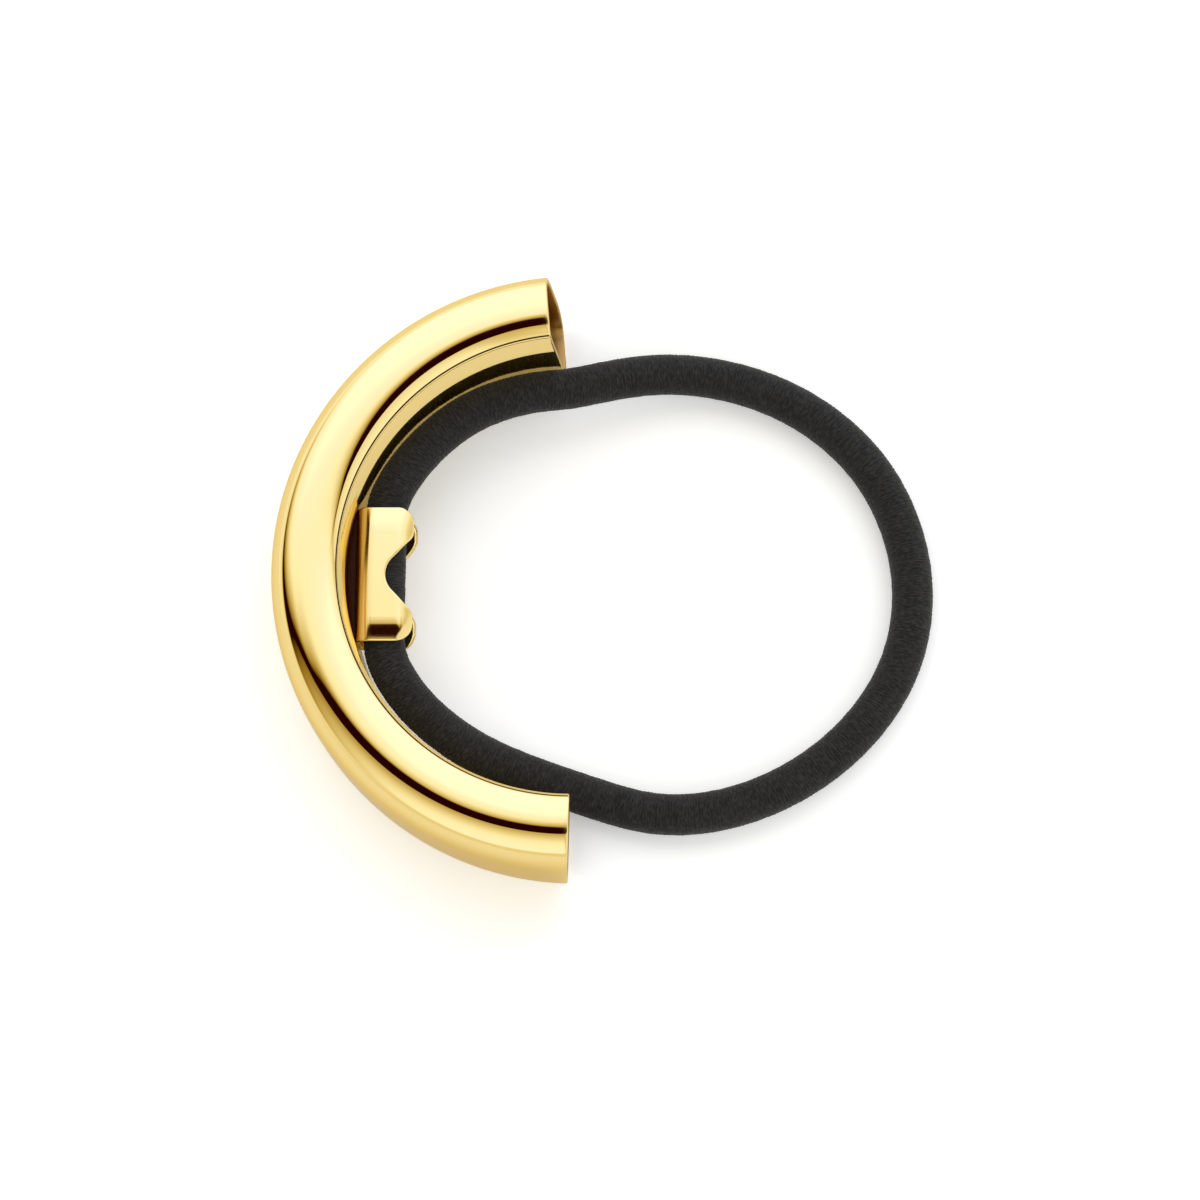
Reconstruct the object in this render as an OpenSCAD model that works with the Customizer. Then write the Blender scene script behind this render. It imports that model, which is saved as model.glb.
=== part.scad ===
// Ponytail cuff: a hollow polished tube bent to an open C, with a stamped clip soldered to the
// middle of its inner face, and a round elastic whose ends meet inside the clip.
// It lies on its side: the axis of the C is +Z, its open side and the elastic's loop face +X,
// and the origin is on the ground below the middle of the metal's own box.

/* [Tube] */
// Distance from the axis of the C to the tube's inner face
inner_radius = 21.7; // [20:0.1:26]
// Depth of the tube, from its inner face to its outer face
tube_depth = 7; // [5.5:0.1:9]
// Width of the tube along the axis of the C
tube_width = 15.5; // [12:0.5:20]
// Depth at which the tube is widest, from its inner face
widest_depth = 3.4; // [2.8:0.1:4]
// Fullness of the outer side: 2 is an ellipse, 4 a soft box
outer_fullness = 4; // [2:0.5:6]
// Fullness of the inner side, which is nearly flat
inner_fullness = 10; // [6:1:12]
// Radius of the gentle dome of the tube's front and back faces
crown_radius = 20; // [16:1:60]
// Thickness of the tube's metal
tube_wall = 0.6; // [0.4:0.1:1]
// Angle of the upper open end at half the tube's width, round the axis from +X
upper_end = 94.9; // [90:0.1:110]
// Angle of the lower open end at half the tube's width, round the axis from +X
lower_end = 269.1; // [250:0.1:270]
// Slant of the cut across each open end: both cuts lie farther round at the top face, in degrees
end_slant = 3; // [0:0.5:6]

/* [Clip] */
// Length of the clip along the elastic
clip_length = 13; // [10:0.5:16]
// Thickness of the clip's sheet metal
clip_metal = 0.5; // [0.4:0.05:0.8]
// Outer radius of the bends between the clip's base and its walls
clip_bend = 1.5; // [1:0.1:2]
// Height over the outside of the clip's base at which its straight walls begin to curl
curl_height = 3.9; // [3:0.1:4.5]
// How far each wall curls over the elastic, in degrees
clip_wrap = 40; // [25:1:55]
// Height of the notch's floor over the outside of the clip's base
notch_floor = 2.9; // [2:0.05:3.4]
// Radius of the notch's floor
notch_radius = 1.5; // [1.2:0.1:1.9]
// Radius of each lobe beside the notch, one arc from its outer corner to its inner shoulder
lobe_radius = 1.65; // [1.2:0.05:2]
// Depth of the clip's two ends in the tube's inner face, where they are soldered
solder_depth = 0.15; // [0.05:0.05:0.3]

/* [Elastic] */
// Thickness of the round elastic
elastic_d = 4; // [3:0.1:5]
// Gap between the elastic and the inside of the clip
elastic_gap = 0.1; // [0.05:0.05:0.3]

/* [Hidden] */

gold = [0.93, 0.76, 0.36];
black = [0.09, 0.09, 0.1];

// Points round the tube's section, a multiple of 4 so that its four extremes are among them
section_steps = 56;
// Sides of the elastic's tube
elastic_sides = 12;
// Steps along each arc of the clip
arc_steps = 10;
// Smoothness of the tube's sweep
$fn = 96;
// Spare angle by which the tube is swept past each end before the ends are cut
end_spare = 3;

outer_radius = inner_radius + tube_depth;
// The middle of the C, so that the origin lies under the middle of the tube's own box. A point of
// an end's cut lies at its distance from the axis along the cut, and aside by its height's slant.
function end_x(point, angle) = point[0] * cos(angle) - point[1] * tan(end_slant) * sin(angle);
function end_y(point, angle) = point[0] * sin(angle) + point[1] * tan(end_slant) * cos(angle);
outline = tube_section(0);
reach_up = max([for (point = outline) end_y(point, upper_end)]);
reach_down = max([for (point = outline) -end_y(point, lower_end)]);
reach_right = max([for (point = outline) max(end_x(point, upper_end), end_x(point, lower_end))]);
centre = [(outer_radius - reach_right) / 2, (reach_down - reach_up) / 2, tube_width / 2];

// The clip: its walls stand just clear of the elastic, and its straight base meets the tube's round
// face at both ends
hollow_radius = elastic_d / 2 + elastic_gap;
wall_radius = hollow_radius + clip_metal;
clip_height = curl_height + wall_radius * sin(clip_wrap);
clip_base = sqrt(pow(inner_radius, 2) - pow(clip_length / 2, 2)) + solder_depth;

// The elastic's route, in this file's own frame: out of the clip's upper mouth, along the upper
// arm, down to the ground, round the loop, up along the lower arm and through the clip
ELASTIC_ROUTE = [
    [-3.9, 4.8, 7.75], [-3.9, 6.4, 7.75], [-3.7, 8, 7.75], [-2.1, 10.95, 7.7], [0.8, 14.4, 7.4],
    [4.8, 17.45, 6.8], [10, 19.2, 5.7], [13, 19.45, 5], [16, 20.35, 4.3], [21.7, 21.8, 3],
    [27.9, 21.5, 2.1], [33.8, 19.6, 2], [39, 16.3, 2], [43.2, 11.7, 2], [45.8, 6, 2],
    [46.8, 0, 2], [45.9, -6.3, 2], [43, -11.8, 2], [38.7, -16.3, 2], [33.5, -19.6, 2],
    [27.6, -21.6, 2], [21.4, -21.9, 2], [15.4, -19.9, 2], [9.6, -18, 2.2], [4.1, -15.9, 3.9],
    [-0.5, -12.6, 6.3], [-2.8, -9.5, 7.6], [-3.8, -7.3, 7.75], [-3.9, -5.4, 7.75],
    [-3.9, -2, 7.75], [-3.9, 1.5, 7.75], [-3.9, 4.6, 7.75]
];

// A power of the sine or cosine that keeps its sign, which rounds a box as a superellipse does
function full(value, fullness) = sign(value) * pow(abs(value), 2 / fullness);

// The tube's section as [distance from the axis, height], each side taken in by shrink.
// The outer half runs from the widest depth outwards, the inner half from there to the inner face.
// Its height falls off with the square of the distance from the widest depth, which domes the faces.
function tube_section(shrink) = [
    for (i = [0 : section_steps - 1])
        let (
            turn = 360 * i / section_steps,
            outside = sin(turn) >= 0,
            fullness = outside ? outer_fullness : inner_fullness,
            depth = (outside ? tube_depth - widest_depth : widest_depth) - shrink,
            half_width = tube_width / 2 - shrink,
            outwards = depth * full(sin(turn), fullness),
            dome = 1 - outwards * outwards / (crown_radius * tube_width)
        )
        [
            inner_radius + widest_depth + outwards,
            half_width * full(cos(turn), fullness) * dome
        ]
];

// The hollow tube round the middle of the C, open at both ends, which are cut aslant
module tube() {
    difference() {
        rotate([0, 0, upper_end - end_spare])
            rotate_extrude(angle = lower_end - upper_end + 2 * end_spare)
                difference() {
                    polygon(outline);
                    polygon(tube_section(tube_wall));
                }
        past_end(upper_end, -1);
        past_end(lower_end, 0);
    }
}

// A block that takes away what lies past an end: side -1 lies before the cut, side 0 after it
module past_end(angle, side) {
    reach = 2 * outer_radius;
    rotate([0, 0, angle])
        rotate([-end_slant, 0, 0])
            translate([0, side * reach, -reach / 2])
                cube(reach);
}

// An arc of points round a middle, from one angle to another
function arc(middle, radius, from, to) = [
    for (i = [0 : arc_steps])
        let (turn = from + (to - from) * i / arc_steps)
        middle + radius * [cos(turn), sin(turn)]
];

// A list of points mirrored across the clip's middle, in reverse order
function mirrored(points) = [
    for (i = [len(points) - 1 : -1 : 0]) [points[i][0], -points[i][1]]
];

// The clip cut across, as [height over the base, width]: its walls stand straight and then curl
// over the elastic, with a mouth between their tips
module clip_section() {
    middle = [curl_height, 0];
    bend = [clip_bend, wall_radius - clip_bend];
    outside = concat(
        arc(middle, wall_radius, 90 - clip_wrap, 90),
        arc(bend, clip_bend, 90, 180)
    );
    inside = concat(
        arc(middle, hollow_radius, 90 - clip_wrap, 90),
        arc(bend, clip_bend - clip_metal, 90, 180)
    );
    far_inside = [for (point = inside) [point[0], -point[1]]];
    near_inside = [for (i = [len(inside) - 1 : -1 : 0]) inside[i]];
    polygon(concat(outside, mirrored(outside), far_inside, near_inside));
}

// The whole clip seen from the front, as [height, distance from the middle]: each lobe is round,
// and a straight flank runs from it down to the notch's floor
module clip_front() {
    end = clip_length / 2;
    lobe_middle = [clip_height - lobe_radius, end - lobe_radius];
    notch = [notch_floor + notch_radius, 0];
    span = lobe_middle - notch;
    lean = atan2(span[1], span[0]) + acos((lobe_radius + notch_radius) / norm(span));
    lobe = concat([[0, end]], arc(lobe_middle, lobe_radius, 90, lean - 180));
    polygon(concat(lobe, arc(notch, notch_radius, lean, 360 - lean), mirrored(lobe)));
}

// The stamped clip, standing on the tube's inner face and opening towards the middle of the C
module clip() {
    translate([-clip_base, 0, 0])
        intersection() {
            rotate([90, 0, 0])
                linear_extrude(height = 2 * clip_length, center = true)
                    clip_section();
            linear_extrude(height = 4 * wall_radius, center = true)
                clip_front();
        }
}

// The tube with the clip soldered to it, which is one piece of metal
module cuff() {
    color(gold)
        translate(centre)
            union() {
                tube();
                clip();
            }
}

// The route, eased: each ring's middle is drawn towards its two neighbours
last = len(ELASTIC_ROUTE) - 1;
function ring_middle(i) = i == 0 || i == last ? ELASTIC_ROUTE[i]
    : (ELASTIC_ROUTE[i - 1] + 4 * ELASTIC_ROUTE[i] + ELASTIC_ROUTE[i + 1]) / 6;
function unit(v) = v / norm(v);
function ring_heading(i) = unit(ELASTIC_ROUTE[min(i + 1, last)] - ELASTIC_ROUTE[max(i - 1, 0)]);

// One ring of points round the route, square to it
function ring(i) =
    let (
        ahead = ring_heading(i),
        aside = unit(cross(ahead, [0, 0, 1])),
        above = cross(aside, ahead)
    )
    [
        for (k = [0 : elastic_sides - 1])
            let (turn = 360 * (k + 0.5) / elastic_sides)
            ring_middle(i) + elastic_d / 2 * (cos(turn) * aside + sin(turn) * above)
    ];

// The round elastic, one tube swept along its route
module elastic() {
    points = [for (i = [0 : last]) each ring(i)];
    walls = [
        for (i = [0 : last - 1], k = [0 : elastic_sides - 1])
            let (
                next = (k + 1) % elastic_sides,
                a = i * elastic_sides + k,
                b = i * elastic_sides + next,
                c = (i + 1) * elastic_sides + next,
                d = (i + 1) * elastic_sides + k
            )
            each [[a, b, c], [a, c, d]]
    ];
    near_end = [for (k = [elastic_sides - 1 : -1 : 0]) k];
    far_end = [for (k = [0 : elastic_sides - 1]) last * elastic_sides + k];
    color(black)
        polyhedron(points = points, faces = concat(walls, [near_end, far_end]), convexity = 6);
}

cuff();
elastic();
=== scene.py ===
# %% [markdown]
# # A polished ponytail cuff with its elastic
# The object is a piece of hair jewellery: a hollow gold tube bent to an open C, a small stamped
# clip soldered inside the C, and a round black elastic whose two ends sit in that clip. It lies
# on its side. The first cell loads the solid model, which fixes every size and place. All that
# follows is made in the same frame, in metres.

# %% Load the solid model
import math
import bpy
import numpy as np
from mathutils import Matrix


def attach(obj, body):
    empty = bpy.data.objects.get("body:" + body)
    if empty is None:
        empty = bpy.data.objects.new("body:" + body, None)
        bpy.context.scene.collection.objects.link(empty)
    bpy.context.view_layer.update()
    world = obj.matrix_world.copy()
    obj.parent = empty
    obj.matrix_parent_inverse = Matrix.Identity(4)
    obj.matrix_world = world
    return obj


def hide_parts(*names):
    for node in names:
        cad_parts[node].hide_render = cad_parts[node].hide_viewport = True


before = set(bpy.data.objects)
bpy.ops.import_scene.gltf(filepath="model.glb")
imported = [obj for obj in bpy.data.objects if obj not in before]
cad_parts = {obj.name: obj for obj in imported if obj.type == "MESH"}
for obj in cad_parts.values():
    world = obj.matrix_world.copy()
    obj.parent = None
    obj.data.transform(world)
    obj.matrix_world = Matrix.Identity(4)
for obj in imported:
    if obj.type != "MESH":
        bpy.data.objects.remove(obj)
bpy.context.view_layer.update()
MM = 0.001

# %% [markdown]
# ## The camera
# The photograph looks almost straight down on the cuff from nearly 40 cm away, tilted about 12
# degrees so that a little of the tube's near wall shows. A long lens keeps the C round. The place
# and the two angles are set first, because every later choice is judged through this view.

# %% Camera
CAMERA_PLACE_MM = (34.61, -83.41, 378.9)
CAMERA_TILT = 12.376
CAMERA_LEAN = 2.704
LENS_MM, FILM_MM = 120, 36
NEAREST = 0.01

camera_data = bpy.data.cameras.new("camera")
camera_data.lens = LENS_MM
camera_data.sensor_width = FILM_MM
camera_data.clip_start = NEAREST
camera = bpy.data.objects.new("camera", camera_data)
bpy.context.scene.collection.objects.link(camera)
camera.matrix_world = (
    Matrix.Translation([v * MM for v in CAMERA_PLACE_MM])
    @ Matrix.Rotation(math.radians(CAMERA_TILT), 4, "X")
    @ Matrix.Rotation(math.radians(CAMERA_LEAN), 4, "Y")
)
bpy.context.scene.camera = camera
print("camera looks down, tilted", CAMERA_TILT, "degrees")

# %% [markdown]
# ## One helper for every surface
# Each piece is a grid of points worked out with numpy. The helper turns such a grid into a mesh:
# every cell of the grid becomes a face. A grid can be joined round in either direction, as a tube
# is, and extra faces can close its ends. Values per point, such as the distance along the
# elastic, are stored beside the mesh for the materials to read.

# %% Surface helper
def add_surface(name, grid, joined_rows=False, joined_columns=True, extra_faces=None, values=None):
    """Makes a mesh object from a grid of points [row, column, xyz] in metres.

    Four neighbouring points make one face. joined_rows and joined_columns close the grid on
    itself. extra_faces are rows of four point numbers, or of three and a repeat for a triangle.
    """
    rows, columns = grid.shape[:2]
    number = np.arange(rows * columns).reshape(rows, columns)
    if joined_rows:
        number = np.vstack([number, number[:1]])
    if joined_columns:
        number = np.hstack([number, number[:, :1]])
    cells = np.stack(
        [number[:-1, :-1], number[:-1, 1:], number[1:, 1:], number[1:, :-1]], axis=-1
    ).reshape(-1, 4)
    if extra_faces is not None:
        cells = np.vstack([cells, extra_faces])

    mesh = bpy.data.meshes.new(name)
    mesh.vertices.add(rows * columns)
    mesh.vertices.foreach_set("co", grid.reshape(-1).astype(np.float32))
    mesh.loops.add(cells.size)
    mesh.loops.foreach_set("vertex_index", cells.reshape(-1).astype(np.int32))
    mesh.polygons.add(len(cells))
    mesh.polygons.foreach_set("loop_start", np.arange(0, cells.size, 4, dtype=np.int32))
    mesh.update(calc_edges=True)
    mesh.validate()
    mesh.polygons.foreach_set("use_smooth", np.ones(len(mesh.polygons), dtype=bool))
    for label, numbers in (values or {}).items():
        kind = "FLOAT_VECTOR" if numbers.ndim == 3 else "FLOAT"
        field = "vector" if numbers.ndim == 3 else "value"
        store = mesh.attributes.new(label, kind, "POINT")
        store.data.foreach_set(field, numbers.reshape(-1).astype(np.float32))
    piece = bpy.data.objects.new(name, mesh)
    bpy.context.scene.collection.objects.link(piece)
    print(name, "has", len(mesh.vertices), "points and", len(mesh.polygons), "faces")
    return piece


# %% [markdown]
# ## The elastic: where it goes
# The elastic is a free cord, so its route comes before its shape. It leaves the clip's upper
# mouth, follows the tube's inner face, sinks to the ground, runs round the loop, and climbs back
# into the clip from below. The same control points as in the solid model are used, with a smooth
# curve drawn between them. A curve of this kind has no kinks, as real elastic has none.

# %% Elastic: route
ELASTIC_D = 4 * MM
STEPS_PER_SPAN, RINGS_PER_MM = 60, 13
ROUTE_MM = [
    [-3.9, 4.8, 7.75], [-3.9, 6.4, 7.75], [-3.7, 8, 7.75], [-2.1, 10.95, 7.7], [0.8, 14.4, 7.4],
    [4.8, 17.45, 6.8], [10, 19.2, 5.7], [13, 19.45, 5], [16, 20.35, 4.3], [21.7, 21.8, 3],
    [27.9, 21.5, 2.1], [33.8, 19.6, 2], [39, 16.3, 2], [43.2, 11.7, 2], [45.8, 6, 2],
    [46.8, 0, 2], [45.9, -6.3, 2], [43, -11.8, 2], [38.7, -16.3, 2], [33.5, -19.6, 2],
    [27.6, -21.6, 2], [21.4, -21.9, 2], [15.4, -19.9, 2], [9.6, -18, 2.2], [4.1, -15.9, 3.9],
    [-0.5, -12.6, 6.3], [-2.8, -9.5, 7.6], [-3.8, -7.3, 7.75], [-3.9, -5.4, 7.75],
    [-3.9, -2, 7.75], [-3.9, 1.5, 7.75], [-3.9, 4.6, 7.75],
]


def smooth_route(points):
    """A cubic B-spline led by the control points, as evenly spaced points, and its length.

    Each point of the curve is a weighted mean of four control points in a row. One mirrored
    point before the first and after the last makes the curve start and stop on them.
    """
    points = np.vstack([2 * points[0] - points[1], points, 2 * points[-1] - points[-2]])
    t = np.linspace(0, 1, STEPS_PER_SPAN, endpoint=False)[None, :, None]
    a, b, c, d = (points[i:len(points) - 3 + i, None, :] for i in range(4))
    curve = (
        (1 - t) ** 3 * a
        + (3 * t**3 - 6 * t**2 + 4) * b
        + (-3 * t**3 + 3 * t**2 + 3 * t + 1) * c
        + t**3 * d
    ) / 6
    curve = np.vstack([curve.reshape(-1, 3), points[-2]])
    along = np.concatenate([[0], np.cumsum(np.linalg.norm(np.diff(curve, axis=0), axis=1))])
    even = np.linspace(0, along[-1], int(along[-1] / MM * RINGS_PER_MM))
    return np.stack([np.interp(even, along, curve[:, k]) for k in range(3)], axis=1), along[-1]


elastic_line, elastic_length = smooth_route(np.array(ROUTE_MM) * MM)
print("the elastic is", round(elastic_length / MM, 1), "mm long, in", len(elastic_line), "rings")

# %% [markdown]
# ## The elastic: its woven cover
# A thin yarn is knitted round a rubber core, which leaves fine ridges across the cord, nearly
# four to a millimetre, never quite regular. A pattern in the material alone would leave a
# perfectly clean outline, so the ridges are raised in the mesh as well, by a few hundredths of a
# millimetre, and the smallest loops are left to the material.

# %% Elastic: cover
COVER_SIDES = 36
RIDGE_PITCH, RIDGE_RISE, RIDGE_WANDER = 0.27 * MM, 0.016 * MM, 0.9
LUMP_RISE = 0.03 * MM
MOST_TURNS = 4
END_ROUNDING = 0.12 * MM


def ripples(along, turn, count, longest, shortest, seed):
    """A sum of slanted waves with seeded directions, which looks random but joins round the cord.

    Each wave is a sine of the distance along plus a whole number of turns round.
    """
    draw = np.random.default_rng(seed)
    total = np.zeros(np.broadcast(along, turn).shape)
    for _ in range(count):
        length = longest * (shortest / longest) ** draw.random()
        turns = draw.integers(-MOST_TURNS, MOST_TURNS + 1)
        total += np.sin(2 * np.pi * along / length + turns * turn + 2 * np.pi * draw.random())
    return total / math.sqrt(count)


def sweep_elastic(line, length):
    """A round tube carried along a line, its radius raised by the ridges of the cover.

    A ring's point is the line's point plus radius times (cosine of the turn towards the side,
    sine of the turn upwards). The last rings shrink to round off the cut ends.
    """
    ahead = np.gradient(line, axis=0)
    ahead /= np.linalg.norm(ahead, axis=1, keepdims=True)
    side = np.cross(ahead, [0, 0, 1])
    side /= np.linalg.norm(side, axis=1, keepdims=True)
    above = np.cross(side, ahead)
    along = np.linspace(0, length, len(line))[:, None]
    turn = np.linspace(0, 2 * np.pi, COVER_SIDES, endpoint=False)[None, :]
    wander = ripples(along, turn, count=7, longest=6 * MM, shortest=0.7 * MM, seed=3)
    ridge = np.cos(2 * np.pi * along / RIDGE_PITCH + RIDGE_WANDER * wander)
    lumps = ripples(along, turn, count=9, longest=3 * MM, shortest=0.35 * MM, seed=11)
    radius = ELASTIC_D / 2 + RIDGE_RISE * (ridge - 1) + LUMP_RISE / 2 * (lumps - 1)
    to_end = np.minimum(along, length - along)
    near_end = np.clip(1 - to_end / END_ROUNDING, 0, 1)
    radius = radius - END_ROUNDING * (1 - np.sqrt(1 - near_end**2))
    points = (
        line[:, None, :]
        + (radius * np.cos(turn))[..., None] * side[:, None, :]
        + (radius * np.sin(turn))[..., None] * above[:, None, :]
    )
    straight = np.stack(
        [
            np.broadcast_to(along, radius.shape),
            ELASTIC_D / 2 * np.cos(turn) * np.ones_like(along),
            ELASTIC_D / 2 * np.sin(turn) * np.ones_like(along),
        ],
        axis=-1,
    )
    return points, straight, ridge


cover_points, cover_place, cover_ridge = sweep_elastic(elastic_line, elastic_length)
first_ring = np.arange(COVER_SIDES)
last_ring = (len(cover_points) - 1) * COVER_SIDES + first_ring


def fill_ring(ring):
    """Fills a flat ring of points with a ladder of four-sided faces from one side to the other."""
    half = len(ring) // 2
    near, far = ring[:half], ring[::-1][:half]
    return np.stack([near[:-1], far[:-1], far[1:], near[1:]], axis=-1)


elastic = add_surface(
    "elastic_cord",
    cover_points,
    extra_faces=np.vstack([fill_ring(first_ring), fill_ring(last_ring)[:, ::-1]]),
    values={"cord_place": cover_place, "ridge": 0.5 + 0.5 * cover_ridge},
)
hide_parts("elastic")
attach(elastic, "root")

# %% [markdown]
# ## The elastic: what leaves the clip
# The elastic starts inside the clip, leaves it by the upper mouth, and comes back in through the
# lower one, so its far end goes back into the object. The cell below prints how many points its
# line has when it is taken at one point a millimetre.

# %% Elastic: its line at one point a millimetre
print("cord declared along", len(elastic_line[::RINGS_PER_MM]), "points")

# %% [markdown]
# ## The tube: its section
# The gold tube is no plain round pipe. Cut across, it is a soft box, nearly flat on the inner face
# and rounder outside. A superellipse gives such a shape, an ellipse whose powers are raised. Two
# half curves, one for each side of the widest depth, share the same ends, so the skin runs on
# without a crease. The front and back faces are domed a little, which no eye would notice on dull
# metal, but on a mirror it decides where each reflection falls.

# %% Tube: section
INNER_RADIUS = 21.7 * MM
TUBE_DEPTH = 7 * MM
TUBE_WIDTH = 15.5 * MM
WIDEST_DEPTH = 3.4 * MM
OUTER_FULLNESS = 4
INNER_FULLNESS = 10
CROWN_RADIUS = 20 * MM
TUBE_WALL = 0.6 * MM
C_MIDDLE = np.array([14.33, 0.05, 7.75]) * MM
UPPER_END, LOWER_END = math.radians(94.9), math.radians(269.1)
END_SLANT = math.radians(3)


def tube_section(turn, inset):
    """Points of the tube's section as (distance from the C's axis, height over its middle).

    Each is a half width or depth, less the inset, times the cosine or sine of the turn raised to
    2 over the fullness, keeping its sign. The height then falls off with the square of the
    distance from the widest depth, over twice the crown's radius.
    """
    sine, cosine = np.sin(turn), np.cos(turn)
    outside = sine >= 0
    fullness = np.where(outside, OUTER_FULLNESS, INNER_FULLNESS)
    depth = np.where(outside, TUBE_DEPTH - WIDEST_DEPTH, WIDEST_DEPTH) - inset
    across = np.sign(sine) * np.abs(sine) ** (2 / fullness)
    up = np.sign(cosine) * np.abs(cosine) ** (2 / fullness)
    outwards = depth * across
    dome = 1 - outwards**2 / (CROWN_RADIUS * TUBE_WIDTH)
    return INNER_RADIUS + WIDEST_DEPTH + outwards, (TUBE_WIDTH / 2 - inset) * up * dome


BEND_WEIGHT = 1.2 * MM
FINE_TURNS = np.linspace(0, 2 * np.pi, 4001)


def even_turns(count):
    """Turns that space the section's points along its outline, closer together where it bends.

    What is shared out evenly is the outline's length plus a weight times how far it has turned.
    """
    out, up = tube_section(FINE_TURNS, 0)
    heading = np.unwrap(np.arctan2(np.diff(up), np.diff(out)))
    bend = np.concatenate([[0], np.abs(np.diff(heading))])
    steps = np.hypot(np.diff(out), np.diff(up)) + BEND_WEIGHT * bend
    walked = np.concatenate([[0], np.cumsum(steps)])
    return np.interp(np.linspace(0, walked[-1], count, endpoint=False), walked, FINE_TURNS)


SECTION_POINTS = 160
section_turns = even_turns(SECTION_POINTS)
print("section of", SECTION_POINTS, "points")

# %% [markdown]
# ## The tube: the sweep
# The wall has a thickness that shows at both open ends, so the mesh is one closed skin: out along
# the outside, over a softened rim, back along the inside, and over the other rim. In a list of
# rows, each with an angle round the C and an inset into the metal, this is a single loop. Both
# ends are cut slightly aslant, so every row leans: its points turn a little farther round the
# higher they stand. Values for the material say how near a point is to a rim, how deep in the
# hollow, where no polishing wheel reaches and the metal is rougher and gets a painted brown shade,
# and how far from the inner corner, along which a fine dark line of painted reflection runs.
# Beside the clip the tube's inner face is rougher too and gets the same painted brown shade.

# %% Tube: sweep
RIM_ROUND, RIM_WEAR = 0.14 * MM, 0.35 * MM
SHADED_LENGTH_MM, SHADED_HEIGHT_MM, SHADED_HOLLOW = 7.5, 6, 0.5
NO_CREASE_LINE = 9.0
INNER_FACE = INNER_RADIUS + 0.5 * MM
ROWS_OUTSIDE, ROWS_INSIDE, ROWS_RIM = 330, 110, 7


def tube_rows():
    """(angle, inset) of each row, once round the wall: outside, rim, inside, rim.

    A rim is two quarter circles: the row steps towards the end as the sine of a quarter turn
    while the inset grows as one less its cosine, and the same in reverse on the inside.
    """
    rim_angle = RIM_ROUND / (INNER_RADIUS + WIDEST_DEPTH)
    quarter = np.linspace(0, np.pi / 2, ROWS_RIM)
    outside = np.linspace(UPPER_END + rim_angle, LOWER_END - rim_angle, ROWS_OUTSIDE)
    rim_end = np.concatenate([rim_angle * np.sin(quarter[1:]), rim_angle * np.cos(quarter[:-1])])
    rim_inset = np.concatenate([
        RIM_ROUND * (1 - np.cos(quarter[1:])),
        TUBE_WALL - RIM_ROUND * (1 - np.sin(quarter[:-1])),
    ])
    inside = np.linspace(LOWER_END - rim_angle, UPPER_END + rim_angle, ROWS_INSIDE)
    angle = np.concatenate([
        outside, LOWER_END - rim_angle + rim_end, inside, UPPER_END + rim_angle - rim_end,
    ])
    inset = np.concatenate([
        np.zeros(ROWS_OUTSIDE), rim_inset, np.full(ROWS_INSIDE, TUBE_WALL), rim_inset[::-1],
    ])
    return angle, inset


def sweep_tube():
    """The section turned round the C's axis.

    x and y are the distance from the axis times the cosine and sine of the row's angle, to which
    the height times the slant's tangent over that distance is added. z is the height.
    """
    angle, inset = tube_rows()
    out, up = tube_section(section_turns[None, :], inset[:, None])
    turned = angle[:, None] + up * math.tan(END_SLANT) / out
    return np.stack(
        [
            C_MIDDLE[0] + out * np.cos(turned),
            C_MIDDLE[1] + out * np.sin(turned),
            C_MIDDLE[2] + up,
        ],
        axis=-1,
    ), angle, inset


tube_points, tube_angle, tube_inset = sweep_tube()
to_rim = np.minimum(tube_angle - UPPER_END, LOWER_END - tube_angle) * INNER_RADIUS
near_rim = np.exp(-to_rim / RIM_WEAR)[:, None] * np.ones(SECTION_POINTS)
relative = (tube_points - C_MIDDLE) / MM
# Beside the clip the tube's inner face is made rougher and gets painted brown shade.
beside_clip_dull_shade = (
    np.clip(SHADED_LENGTH_MM - np.abs(relative[..., 1]), 0, 1)
    * np.clip(SHADED_HEIGHT_MM - np.abs(relative[..., 2]), 0, 1)
    * (np.hypot(relative[..., 0], relative[..., 1]) < INNER_FACE / MM)
)
# Rougher metal and painted brown shade in the hollow and beside the clip.
hollow = np.maximum((tube_inset / TUBE_WALL)[:, None], SHADED_HOLLOW * beside_clip_dull_shade)


def past_inner_corner(turns):
    """How far each point of the section lies past the inner corner, in millimetres.

    It is the way along the outline from the middle of the inner face, less the corner's own way
    from there, so it is zero at both inner corners and below zero between them.
    """
    out, up = tube_section(FINE_TURNS, 0)
    walked = np.concatenate([[0], np.cumsum(np.hypot(np.diff(out), np.diff(up)))])
    middle = np.interp(1.5 * np.pi, FINE_TURNS, walked)
    corner = abs(walked[np.argmax(up - out)] - middle)
    way = np.abs(np.interp(turns, FINE_TURNS, walked) - middle)
    return (np.minimum(way, walked[-1] - way) - corner) / MM


# How far from the inner corners, along which a fine dark line of painted reflection is drawn.
crease_line_way = np.where(tube_inset[:, None] == 0, past_inner_corner(section_turns)[None, :], NO_CREASE_LINE)
tube = add_surface(
    "cuff_tube", tube_points, joined_rows=True,
    values={"near_rim": near_rim, "hollow": hollow, "crease_line_way": crease_line_way},
)
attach(tube, "root")

# %% [markdown]
# ## The clip: a folded sheet
# The clip is stamped from one sheet and folded to a U. Its straight base is soldered to the tube
# at both ends, and its two walls rise beside the elastic and curl over it. Each wall is cut to
# two lobes with a notch between them. The sheet is described flat, by the distance from its
# middle line, and a function folds it: flat base, round bend, straight wall, curl.

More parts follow.
